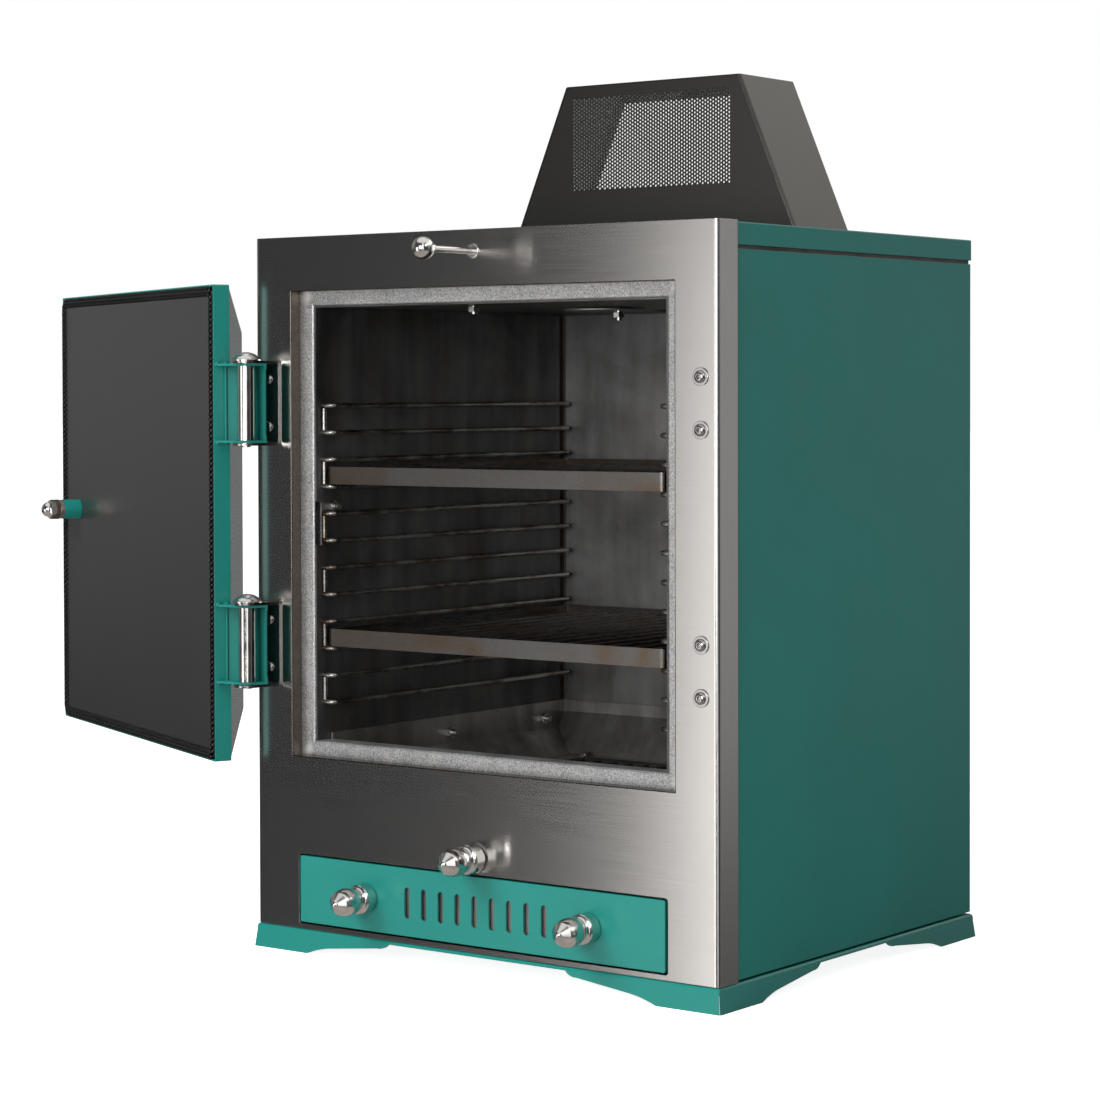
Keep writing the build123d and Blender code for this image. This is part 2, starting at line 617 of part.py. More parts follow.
# ---- hinges and fasteners -----------------------------------------------------------------
def button_bolt(x, z, seat_y):
    """Button-head socket bolt along Y, its head standing on the plane y = seat_y."""
    head_r, head_h = 7.2, 4.0
    with BuildPart() as bolt:
        with BuildSketch(Plane.YZ):
            with BuildLine():
                Polyline((0, 0), (0, head_r), (-0.8, head_r))
                ThreePointArc((-0.8, head_r), (-3.1, 5.8), (-head_h, 3.6))
                Polyline((-head_h, 3.6), (-head_h, 0), (0, 0))
            make_face()
        revolve(axis=Axis.Y)
        rod_y(0, 0, 0, 14, 4)
        with BuildSketch(Plane.XZ.offset(head_h)):
            RegularPolygon(2.6, 6, major_radius=False)
        extrude(amount=-2.6, mode=Mode.SUBTRACT)
    return bolt.part.moved(Location((x, seat_y, z)))


def washer(x, z, seat_y):
    with BuildPart() as ring:
        rod_y(0, 0, -1.6, 0, 10.5)
        rod_y(0, 0, -2, 1, 4.05, Mode.SUBTRACT)
        fillet(ring.faces().sort_by(Axis.Y)[0].edges().sort_by(SortBy.LENGTH)[-1], 0.5)
    return ring.part.moved(Location((x, seat_y, z)))


def group(pieces, name):
    """Separate identical solids kept as one node."""
    save(Compound(children=pieces), name)


def facade_fasteners():
    """Bolts of the hinge plates, and the plug bolts in the spare hinge holes opposite."""
    heights = [z + dz for z in HINGE_HEIGHTS.values() for dz in (-BOLT_PITCH / 2, BOLT_PITCH / 2)]
    bolts = [button_bolt(-BOLT_X, z, FRONT - 3) for z in heights]
    bolts += [button_bolt(BOLT_X, z, FRONT - 1.6) for z in heights]
    group(bolts, "facade_bolts")
    group([washer(BOLT_X, z, FRONT) for z in heights], "plug_washers")


def hinge(place, height):
    """Stainless U bracket on the facade, hinge pin with a domed head, and spacer sleeve."""
    x0, x1, ear = -343.0, -309.0, 17.0
    plate_y = FRONT - 3
    with BuildPart() as bracket:
        block(x0, x1, plate_y, FRONT, height - 53, height + 53)
        with BuildSketch(Plane.XY.offset(height - 53)):
            with BuildLine():
                Line((x0, plate_y), (HINGE_X - ear, HINGE_Y))
                ThreePointArc((HINGE_X - ear, HINGE_Y), (HINGE_X, HINGE_Y - ear),
                              (HINGE_X + ear, HINGE_Y))
                Polyline((HINGE_X + ear, HINGE_Y), (x1, plate_y), (x1, FRONT), (x0, FRONT),
                         (x0, plate_y))
            make_face()
        extrude(amount=106)
        block(x0 - 20, x1 + 5, HINGE_Y - 30, plate_y, height - 50, height + 50, Mode.SUBTRACT)
        bends = bracket.edges().filter_by(Axis.X).group_by(Axis.Y)
        fillet(bends[-1], 6.5)
        inner_bends = bracket.edges().filter_by(Axis.X).filter_by(
            lambda e: abs(e.center().Y - plate_y) < 0.01 and abs(abs(e.center().Z - height) - 50) < 1)
        fillet(inner_bends, 4.0)
        rod_z(HINGE_X, HINGE_Y, height - 60, height + 60, 6.0, Mode.SUBTRACT)
        for dz in (-BOLT_PITCH / 2, BOLT_PITCH / 2):
            rod_y(-BOLT_X, height + dz, plate_y - 1, FRONT + 1, 4.05, Mode.SUBTRACT)
    save(bracket.part, f"hinge_bracket_{place}")
    head_r, dome_base, rim_z, head_h = 19.0, 17.5, 55.4, 8.4
    dome_r = (dome_base ** 2 + head_h ** 2) / (2 * head_h)
    dome_z = rim_z + head_h - dome_r
    half_angle = asin(dome_base / dome_r) / 2
    with BuildPart() as pin:
        with BuildSketch(Plane.XZ):
            with BuildLine():
                Polyline((0, -55), (6, -55), (6, 53), (head_r, 53), (head_r, 54.4),
                         (head_r - 0.6, 55), (dome_base, rim_z))
                ThreePointArc((dome_base, rim_z), (dome_r * sin(half_angle), dome_z + dome_r
                                                   * cos(half_angle)), (0, rim_z + head_h))
                Line((0, rim_z + head_h), (0, -55))
            make_face()
        revolve(axis=Axis.Z)
    save(pin.part.moved(Location((HINGE_X, HINGE_Y, height))), f"hinge_pin_{place}")
    with BuildPart() as sleeve:
        rod_z(HINGE_X, HINGE_Y, height - 46.4, height + 46.4, 11.5)
        rod_z(HINGE_X, HINGE_Y, height - 50, height + 50, 6.0, Mode.SUBTRACT)
    save(sleeve.part, f"hinge_sleeve_{place}")


def door_bracket(place, height):
    """Welded bracket on the door's edge: two ears round the pin and a scalloped web."""
    door_edge = -DOOR_HALF
    web_y = HINGE_Y - 21.5
    with BuildPart() as bracket:
        with BuildSketch(Plane.XY.offset(height - 49.6)):
            with BuildLine():
                Polyline((door_edge, DOOR_BACK - 1), (door_edge, DOOR_BACK - 20),
                         (HINGE_X + 14, web_y), (HINGE_X - 14, web_y), (HINGE_X - 14, HINGE_Y))
                ThreePointArc((HINGE_X - 14, HINGE_Y), (HINGE_X - 9.9, HINGE_Y + 9.9),
                              (HINGE_X, HINGE_Y + 14))
                Line((HINGE_X, HINGE_Y + 14), (door_edge, DOOR_BACK - 1))
            make_face()
        extrude(amount=99.2)
        with BuildSketch(Plane.XY.offset(height - 46.6)):
            with BuildLine():
                Polyline((door_edge + 5, FRONT), (door_edge + 5, DOOR_BACK - 5.5),
                         (HINGE_X + 12.3, web_y + 3), (HINGE_X - 30, web_y + 3),
                         (HINGE_X - 30, FRONT), close=True)
            make_face()
        extrude(amount=93.2, mode=Mode.SUBTRACT)
        with BuildSketch(Plane.XZ.offset(-(web_y + 4))):
            with Locations((HINGE_X - 17, height)):
                RectangleRounded(10, 86, 4)
        extrude(amount=8, mode=Mode.SUBTRACT)
        rod_z(HINGE_X, HINGE_Y, height - 60, height + 60, 6.06, Mode.SUBTRACT)
        # weld beads against the band
        rod_z(door_edge - 1.8, DOOR_BACK - 15.7, height - 49, height + 49, 1.8)
        for z in (height - 49.6, height + 49.6):
            for y in (DOOR_BACK - 4, DOOR_BACK - 15):
                with Locations((door_edge - 2.8, y, z)):
                    Sphere(2.8)
    save(hang(bracket.part), f"door_bracket_{place}")


# ---- door ---------------------------------------------------------------------------------
def door_square(half, y0, y1, mode=Mode.ADD):
    """Square slab on the door's centre, between two depths."""
    block(-half, half, y0, y1, DOOR_Z - half, DOOR_Z + half, mode)


def pyramid(half, y_base, y_top, inward, mode=Mode.ADD):
    """Flat-topped pyramid on the door's centre, rising towards -Y."""
    ends = []
    for size, y in ((half, y_base), (half - inward, y_top)):
        with BuildSketch(Plane.XZ.offset(-y)) as end:
            with Locations((0, DOOR_Z)):
                Rectangle(2 * size, 2 * size)
        ends.append(end.sketch)
    loft(ends, mode=mode)


def door_shells():
    rope_half = DOOR_HALF - BAND_T
    panel_half = rope_half - ROPE_W
    with BuildPart() as band:
        door_square(DOOR_HALF, SKIN_BASE, DOOR_BACK)
        fillet(band.edges().filter_by(Axis.Y), 2.5)
        door_square(rope_half, SKIN_BASE - 1, DOOR_BACK + 1, Mode.SUBTRACT)
    save(hang(band.part), "door_frame")
    with BuildPart() as panel:
        door_square(panel_half, DOOR_BACK - 10, DOOR_BACK)
        fillet(panel.faces().sort_by(Axis.Y)[-1].edges(), 1.5)
        door_square(rope_half, DOOR_BACK - 10, DOOR_BACK - 8)
        door_square(panel_half - 2, DOOR_BACK - 11, DOOR_BACK - 2, Mode.SUBTRACT)
        rod_y(LATCH_X, DOOR_Z, DOOR_BACK - 12, DOOR_BACK + 1, SPINDLE_R + 0.1, Mode.SUBTRACT)
    save(hang(panel.part), "door_inner_panel")
    with BuildPart() as rope:
        door_square(rope_half, DOOR_BACK - 8, FRONT - 0.3)
        door_square(panel_half, DOOR_BACK - 9, FRONT, Mode.SUBTRACT)
        fillet(rope.faces().sort_by(Axis.Y)[-1].edges(), 4.0)
    save(hang(rope.part), "door_gasket")
    with BuildPart() as skin:
        pyramid(rope_half, SKIN_BASE, SKIN_TOP, SLOPE_IN)
        crests = skin.edges().filter_by(lambda e: e.center().Y < SKIN_BASE - 1)
        fillet(crests, 2.5)
        pyramid(rope_half - 2, SKIN_BASE + 0.01, SKIN_TOP + SKIN_T, SLOPE_IN - 0.5, Mode.SUBTRACT)
        rod_y(LATCH_X, DOOR_Z, SKIN_TOP - 2, SKIN_BASE, SPINDLE_R + 0.1, Mode.SUBTRACT)
    save(hang(skin.part), "door_skin")
    with BuildPart() as wool:
        door_square(panel_half - 3, SKIN_BASE, DOOR_BACK - 3)
        pyramid(panel_half - 3, SKIN_BASE, SKIN_TOP + 5, 50, Mode.ADD)
        rod_y(LATCH_X, DOOR_Z, SKIN_TOP - 2, DOOR_BACK, SPINDLE_R + 1, Mode.SUBTRACT)
    save(hang(wool.part), "door_insulation")


def latch():
    """Turning latch through the door: boss, spindle, cam, nuts, lever and grip."""
    with BuildPart() as boss:
        rod_y(LATCH_X, DOOR_Z, DOOR_BACK, CAM_BACK, 13.5)
        rod_y(LATCH_X, DOOR_Z, DOOR_BACK - 1, CAM_BACK + 1, SPINDLE_R + 0.08, Mode.SUBTRACT)
    save(hang(boss.part), "latch_boss")
    with BuildPart() as rosette:
        rod_y(LATCH_X, DOOR_Z, SKIN_TOP - 12, SKIN_TOP + 12, 14)
        pyramid(DOOR_HALF - BAND_T, SKIN_BASE, SKIN_TOP, SLOPE_IN, Mode.SUBTRACT)
        rod_y(LATCH_X, DOOR_Z, SKIN_TOP - 15, SKIN_BASE, SPINDLE_R + 0.08, Mode.SUBTRACT)
    save(hang(rosette.part), "handle_bush")
    cam_end = CAM_BACK + CAM_T
    nut_end = cam_end + 6.5
    lever_y = SKIN_TOP - 12.5
    with BuildPart() as spindle:
        rod_y(LATCH_X, DOOR_Z, lever_y - 8, nut_end + 12, SPINDLE_R)
    save(hang(spindle.part), "latch_spindle")
    with BuildPart() as cam:
        with BuildSketch(Plane.XZ.offset(-CAM_BACK - 0.2)):
            with Locations((LATCH_X, DOOR_Z)):
                Circle(LATCH_REACH)
                with Locations((LATCH_REACH / 2, 0)):
                    Rectangle(LATCH_REACH, 18, mode=Mode.INTERSECT)
                Circle(13.2)
                Circle(SPINDLE_R, mode=Mode.SUBTRACT)
        extrude(amount=-(CAM_T - 0.2))
    save(hang(cam.part), "latch_cam")
    with BuildPart() as locknut:
        with BuildSketch(Plane.XZ.offset(-cam_end)):
            with Locations((LATCH_X, DOOR_Z)):
                RegularPolygon(12, 6, major_radius=False, rotation=30)
                Circle(SPINDLE_R, mode=Mode.SUBTRACT)
        extrude(amount=-6.5)
    save(hang(locknut.part), "latch_locknut")
    with BuildPart() as acorn:
        with BuildSketch(Plane.XZ.offset(-nut_end)):
            with Locations((LATCH_X, DOOR_Z)):
                RegularPolygon(12, 6, major_radius=False, rotation=30)
        extrude(amount=-18)
        with BuildSketch(Plane.XY.offset(DOOR_Z)):
            with BuildLine():
                Polyline((LATCH_X, nut_end), (LATCH_X + 12.6, nut_end),
                         (LATCH_X + 13.9, nut_end + 1.3), (LATCH_X + 13.9, nut_end + 6),
                         (LATCH_X + 10.5, nut_end + 9))
                ThreePointArc((LATCH_X + 10.5, nut_end + 9), (LATCH_X + 7.6, nut_end + 15.2),
                              (LATCH_X, nut_end + 18))
                Line((LATCH_X, nut_end + 18), (LATCH_X, nut_end))
            make_face()
        revolve(axis=Axis((LATCH_X, 0, DOOR_Z), (0, 1, 0)), mode=Mode.INTERSECT)
        rod_y(LATCH_X, DOOR_Z, nut_end - 1, nut_end + 12, SPINDLE_R, Mode.SUBTRACT)
    save(hang(acorn.part), "latch_acorn_nut")
    reach = 115.0
    with BuildPart() as lever:
        with BuildSketch(Plane.XZ.offset(-lever_y)):
            with Locations((LATCH_X, DOOR_Z - reach / 2)):
                SlotCenterToCenter(reach, 30, rotation=90)
            with Locations((LATCH_X, DOOR_Z)):
                Circle(SPINDLE_R, mode=Mode.SUBTRACT)
        extrude(amount=8)
        fillet(lever.faces().sort_by(Axis.Y)[0].edges().sort_by(SortBy.LENGTH)[-4:], 1.5)
    save(hang(lever.part), "handle_lever")
    save(hang(bullet_knob(LATCH_X, DOOR_Z - reach, lever_y - 8)), "handle_grip")


# ---- build --------------------------------------------------------------------------------
facade()
seat_frame()
liner()
insulation()
body_wrap()
deck()
cap_lid()
base_plate()
plinth()
firebed()
fire_grate()
riddling_gear()
ash_drawer()
runners()
rack(UPPER_RACK_WIRE, "rack_upper")
rack(LOWER_RACK_WIRE, "rack_lower")
ceiling_fittings()
liner_bolts()
flue()
damper()
hood()
facade_fasteners()
for hinge_place, hinge_height in HINGE_HEIGHTS.items():
    hinge(hinge_place, hinge_height)
    door_bracket(hinge_place, hinge_height)
door_shells()
latch()
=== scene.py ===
import json
import math

import bpy
from mathutils import Euler, Matrix, Vector


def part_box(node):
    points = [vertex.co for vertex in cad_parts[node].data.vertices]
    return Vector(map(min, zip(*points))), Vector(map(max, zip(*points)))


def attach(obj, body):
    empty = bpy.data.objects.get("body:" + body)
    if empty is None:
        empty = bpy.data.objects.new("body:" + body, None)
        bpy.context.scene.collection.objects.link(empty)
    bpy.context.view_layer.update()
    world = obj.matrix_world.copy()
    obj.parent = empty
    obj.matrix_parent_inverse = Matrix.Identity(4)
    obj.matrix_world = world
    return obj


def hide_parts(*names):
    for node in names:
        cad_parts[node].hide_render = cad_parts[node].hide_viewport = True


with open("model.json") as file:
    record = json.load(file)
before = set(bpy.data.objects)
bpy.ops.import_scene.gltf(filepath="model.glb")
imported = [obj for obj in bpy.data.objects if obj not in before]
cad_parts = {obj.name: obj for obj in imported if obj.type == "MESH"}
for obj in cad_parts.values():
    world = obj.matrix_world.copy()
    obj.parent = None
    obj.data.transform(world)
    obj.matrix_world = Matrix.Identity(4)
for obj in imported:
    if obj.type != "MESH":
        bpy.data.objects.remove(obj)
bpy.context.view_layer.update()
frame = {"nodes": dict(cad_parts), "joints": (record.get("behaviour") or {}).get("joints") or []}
joints = {joint["name"]: joint for joint in frame["joints"]}

# ---- camera and light ---------------------------------------------------------------------
CAMERA_PLACE = (2.158, -3.016, 0.702)
CAMERA_YAW = 36.893
CAMERA_PITCH = -1.284
CAMERA_ROLL = -0.142
LENS = 95.5
SENSOR = 36.0
SHIFT_Y = -0.0856
LIGHTS = (  # name, place, target, side of the square, watts, seen in the steel
    ("key", (-1.1, -2.6, 2.7), (0, -0.2, 0.5), 2.2, 135, False),
    ("front_fill", (1.0, -4.4, 1.2), (0, 0, 0.5), 1.6, 90, True),
    ("side_fill", (3.0, -1.4, 2.4), (0.35, -0.1, 0.7), 1.4, 13, True),
)
FLOOR_SIZE = 80
FLOOR_TONE = 0.80
FLOOR_GLOW = 0.88
WHITE_FLOOR = (1.2, 4.0)  # metres from the object between which the floor fades to white
WHITE = (1.0, 1.0, 1.0)
AMBIENT = (0.22, 0.22, 0.225)  # even light on everything
REFLECTED = (0.055, 0.056, 0.058)  # what the steel mirrors between the panels
# Soft panels that only the steel reflects. Each has a bearing and a half width in degrees from
# -Y towards -X, a soft edge, the sines of its lowest and highest elevation, the softness of
# those, a power and a tint.
PANELS = (
    (23.5, 9.4, 2.3, -0.8, 0.02, 0.10, 2.60, (1.0, 0.98, 0.965)),
    (165, 25, 20, -0.30, 0.60, 0.20, 0.26, (0.96, 1.0, 1.0)),
    (-143, 35, 30, -0.10, 0.30, 0.10, 0.40, WHITE),
    (-143, 50, 20, 0.45, 0.95, 0.15, 1.60, (1.0, 0.98, 0.95)),
    (-38, 6, 3, -0.20, 0.60, 0.20, 1.60, WHITE),
    (98, 30, 20, 0.02, 0.50, 0.17, 0.26, WHITE),
    (0, 200, 1, 0.85, 1.20, 0.20, 0.90, WHITE),
    (0, 200, 1, -1.20, -0.55, 0.25, 0.42, (1.0, 0.92, 0.86)),
)


def make_camera():
    data = bpy.data.cameras.new("view")
    data.lens, data.sensor_width, data.shift_y = LENS, SENSOR, SHIFT_Y
    camera = bpy.data.objects.new("view", data)
    camera.location = CAMERA_PLACE
    turn = Euler((math.radians(90 + CAMERA_PITCH), 0, math.radians(CAMERA_YAW))).to_matrix()
    roll = Matrix.Rotation(math.radians(CAMERA_ROLL), 3, "Z")
    camera.rotation_euler = (turn @ roll).to_euler()
    bpy.context.collection.objects.link(camera)
    bpy.context.scene.camera = camera


def softbox(name, place, target, size, power, mirrored):
    """Square area light aimed at a point; the steel may be kept from mirroring it."""
    data = bpy.data.lights.new(name, "AREA")
    data.shape = "SQUARE"
    data.size = size
    data.energy = power
    light = bpy.data.objects.new(name, data)
    light.visible_glossy = mirrored
    light.location = place
    aim = Vector(target) - Vector(place)
    light.rotation_euler = aim.to_track_quat("-Z", "Y").to_euler()
    bpy.context.collection.objects.link(light)


def window(tree, value, low, high, soft):
    """One between two limits, falling to nothing over the soft edge outside each."""
    middle, half = (low + high) / 2, (high - low) / 2
    off = math_node(tree, "ABSOLUTE", math_node(tree, "SUBTRACT", value, middle))
    return add(tree, "ShaderNodeMapRange", {
        "Value": off, "From Min": half, "From Max": half + soft, "To Min": 1.0, "To Max": 0.0},
        interpolation_type="SMOOTHSTEP").outputs[0]


def make_world():
    """White behind the object, soft panels for the steel to reflect, and even fill light."""
    world = bpy.data.worlds.new("studio")
    bpy.context.scene.world = world
    world.use_nodes = True
    tree = world.node_tree
    tree.nodes.clear()
    coords = add(tree, "ShaderNodeTexCoord")
    way = add(tree, "ShaderNodeSeparateXYZ", {"Vector": coords.outputs["Generated"]})
    west = math_node(tree, "MULTIPLY", way.outputs["X"], -1.0)
    south = math_node(tree, "MULTIPLY", way.outputs["Y"], -1.0)
    bearing = math_node(tree, "DEGREES", math_node(tree, "ARCTAN2", west, south))
    studio = REFLECTED
    for middle, half, soft, low, high, fade, power, tint in PANELS:
        across = window(tree, bearing, middle - half, middle + half, soft)
        upright = window(tree, way.outputs["Z"], low, high, fade)
        share = math_node(tree, "MULTIPLY", across, upright)
        studio = blend_colour(tree, share, studio, tuple(power * c for c in tint))
    path = add(tree, "ShaderNodeLightPath")
    fill = blend_colour(tree, path.outputs["Is Glossy Ray"], AMBIENT, studio)
    shade = blend_colour(tree, path.outputs["Is Camera Ray"], fill, WHITE)
    sky = add(tree, "ShaderNodeBackground", {"Color": shade})
    out = add(tree, "ShaderNodeOutputWorld")
    tree.links.new(sky.outputs[0], out.inputs[0])


def make_floor():
    """Pale floor that fades to white far away and doesn't show in the steel."""
    bpy.ops.mesh.primitive_plane_add(size=FLOOR_SIZE, location=(0, 0, 0))
    floor = bpy.context.object
    floor.name = "floor"
    floor.visible_glossy = False
    material, tree, shader = new_material("floor_paint")
    path = add(tree, "ShaderNodeLightPath")
    shader.inputs["Base Color"].default_value = (FLOOR_TONE, FLOOR_TONE, FLOOR_TONE, 1)
    shader.inputs["Roughness"].default_value = 0.9
    shader.inputs["Specular IOR Level"].default_value = 0.0
    shader.inputs["Emission Color"].default_value = (*WHITE, 1)
    reach = add(tree, "ShaderNodeVectorMath", {0: place(tree)}, operation="LENGTH")
    bright = spread(tree, reach.outputs["Value"], FLOOR_GLOW, 1.0, *WHITE_FLOOR)
    glow = math_node(tree, "MULTIPLY", path.outputs["Is Camera Ray"], bright)
    tree.links.new(glow, shader.inputs["Emission Strength"])
    floor.data.materials.append(material)


def make_stage():
    make_world()
    make_floor()
    for light in LIGHTS:
        softbox(*light)


# ---- material building blocks -------------------------------------------------------------
def new_material(name):
    """Material with nothing but a Principled shader, its node tree and that shader."""
    material = bpy.data.materials.new(name)
    material.use_nodes = True
    tree = material.node_tree
    tree.nodes.clear()
    shader = tree.nodes.new("ShaderNodeBsdfPrincipled")
    out = tree.nodes.new("ShaderNodeOutputMaterial")
    tree.links.new(shader.outputs[0], out.inputs[0])
    return material, tree, shader


def add(tree, kind, values=None, **settings):
    """New node with its properties and its input values or incoming links."""
    node = tree.nodes.new(kind)
    for key, value in settings.items():
        setattr(node, key, value)
    for key, value in (values or {}).items():
        if isinstance(value, bpy.types.NodeSocket):
            tree.links.new(value, node.inputs[key])
        else:
            node.inputs[key].default_value = value
    return node


def place(tree, scale=(1, 1, 1), turn=0.0):
    """Coordinates in metres in the shared frame, turned about Z and then stretched."""
    coords = add(tree, "ShaderNodeTexCoord")
    turned = add(tree, "ShaderNodeMapping", {"Vector": coords.outputs["Object"],
                                             "Rotation": (0, 0, turn)})
    stretched = add(tree, "ShaderNodeMapping", {"Vector": turned.outputs[0], "Scale": scale})
    return stretched.outputs[0]


def noise(tree, vector, scale, detail=4.0, roughness=0.5, distortion=0.0):
    """Fractal noise between nought and one."""
    return add(tree, "ShaderNodeTexNoise", {
        "Vector": vector, "Scale": scale, "Detail": detail, "Roughness": roughness,
        "Distortion": distortion}).outputs["Fac"]


def spread(tree, value, low, high, start=0.3, end=0.7):
    """Value that goes from low to high while the given one goes from start to end."""
    return add(tree, "ShaderNodeMapRange", {
        "Value": value, "From Min": start, "From Max": end,
        "To Min": low, "To Max": high}).outputs[0]


def blend_colour(tree, factor, first, second):
    """Mix of two colours, each a tuple or a socket."""
    node = add(tree, "ShaderNodeMix", data_type="RGBA")
    for key, value in (("Factor", factor), ("A", first), ("B", second)):
        if isinstance(value, bpy.types.NodeSocket):
            tree.links.new(value, node.inputs[key])
        elif key == "Factor":
            node.inputs[key].default_value = value
        else:
            node.inputs[key].default_value = (*value, 1)
    return node.outputs["Result"]


def bump(tree, shader, height, depth, radius=0.0):
    """Relief of the given depth in metres; a radius also softens sharp edges."""
    node = add(tree, "ShaderNodeBump", {"Height": height, "Strength": 1.0, "Distance": depth})
    if radius:
        edge = add(tree, "ShaderNodeBevel", {"Radius": radius}, samples=4)
        tree.links.new(edge.outputs[0], node.inputs["Normal"])
    tree.links.new(node.outputs[0], shader.inputs["Normal"])


def math_node(tree, operation, first, second=0.0, third=0.0):
    """Result of one sum, whose terms are numbers or sockets."""
    node = tree.nodes.new("ShaderNodeMath")
    node.operation = operation
    for index, value in enumerate((first, second, third)):
        if isinstance(value, bpy.types.NodeSocket):
            tree.links.new(value, node.inputs[index])
        else:
            node.inputs[index].default_value = value
    return node.outputs[0]


# ---- materials ----------------------------------------------------------------------------
GREEN = (0.007, 0.195, 0.165)
# painted shade: a darker copy of GREEN for the door brackets, standing for the shade inside them
PAINTED_SHADE_GREEN = (0.006, 0.16, 0.135)
CHARCOAL = (0.020, 0.020, 0.0195)
BROWN_SCALE = (0.10, 0.075, 0.055)
BROWN_SHARE = 0.35
WELD_WHITE = (0.74, 0.73, 0.70)
WELD_REACH = (0.014, 0.021)  # metres from a tube corner's middle over which its weld fades
WELD_RAGGED = 0.022
TUBE = 0.025  # side of the square tube
RELIEF = "relief"  # point attribute of the rope's mesh
FINE = 1600.0  # grain of brushed sheet, in lines per metre across the brushing
LONG = 12.0  # and along it
BAND = 0.06  # scale of the broad bands in the grain, against the lines
GRAIN_DEPTH = 0.000002
HAND_MARKS = 0.4
FIBRE = 240.0  # strands of mineral wool per metre
DOOR_TURN = math.radians(205.6)  # how far open the door stands at rest


def brushed_steel(name, light, dark, rough, grain, turn=0.0, anisotropy=0.8):
    """Stainless sheet with a fine directional grain and faint handling marks."""
    material, tree, shader = new_material(name)
    scale = tuple(LONG if axis == grain else FINE for axis in "xyz")
    lines = noise(tree, place(tree, scale, turn), 1.0, 3.0, 0.6)
    broad = noise(tree, place(tree, tuple(s * BAND for s in scale), turn), 1.0, 2.0, 0.5)
    marks = noise(tree, place(tree), 9.0, 5.0, 0.6, 0.4)
    grained = math_node(tree, "MULTIPLY_ADD", broad, 0.15, lines)
    marked = math_node(tree, "MULTIPLY_ADD", marks, HAND_MARKS, grained)
    tone = spread(tree, marked, 0.0, 1.0, 0.45, 1.2)
    tree.links.new(blend_colour(tree, tone, dark, light), shader.inputs["Base Color"])
    shader.inputs["Metallic"].default_value = 1.0
    tree.links.new(spread(tree, lines, rough * 0.93, rough * 1.08), shader.inputs["Roughness"])
    shader.inputs["Anisotropic"].default_value = anisotropy
    shader.inputs["Anisotropic Rotation"].default_value = 0.0 if grain == "z" else 0.25
    tangent = add(tree, "ShaderNodeTangent", direction_type="RADIAL", axis="Z")
    tree.links.new(tangent.outputs[0], shader.inputs["Tangent"])
    bump(tree, shader, lines, GRAIN_DEPTH, 0.0008)
    return material


def recolour_inside(material, node, colour, metallic):
    """Another colour where the surface faces the middle of the node's box: painted shade or
    painted light on inner faces.
    """
    tree = material.node_tree
    shader = next(n for n in tree.nodes if n.type == "BSDF_PRINCIPLED")
    low, high = (Vector(v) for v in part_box(node))
    spot = add(tree, "ShaderNodeNewGeometry")
    away = add(tree, "ShaderNodeVectorMath", {0: place(tree), 1: (low + high) / 2},
               operation="SUBTRACT").outputs[0]
    facing = add(tree, "ShaderNodeVectorMath", {0: away, 1: spot.outputs["Normal"]},
                 operation="DOT_PRODUCT").outputs["Value"]
    inward = math_node(tree, "LESS_THAN", facing, 0.0)
    base = shader.inputs["Base Color"]
    outside = base.links[0].from_socket
    tree.links.new(blend_colour(tree, inward, outside, colour), base)
    tree.links.new(math_node(tree, "MULTIPLY_ADD", inward, metallic - 1, 1.0),
                   shader.inputs["Metallic"])


def polished_steel(name, tint=(0.78, 0.76, 0.73), rough=0.14):
    """Turned and polished stainless with faint tool rings."""
    material, tree, shader = new_material(name)
    rings = noise(tree, place(tree, (300, 2400, 300)), 1.0, 2.0)
    smears = noise(tree, place(tree), 60.0, 4.0)
    dull = tuple(0.8 * c for c in tint)
    tree.links.new(blend_colour(tree, spread(tree, smears, 0.0, 1.0), dull, tint),
                   shader.inputs["Base Color"])
    shader.inputs["Metallic"].default_value = 1.0
    tree.links.new(spread(tree, smears, rough * 0.7, rough * 1.5), shader.inputs["Roughness"])
    bump(tree, shader, rings, 0.000008, 0.0004)
    return material


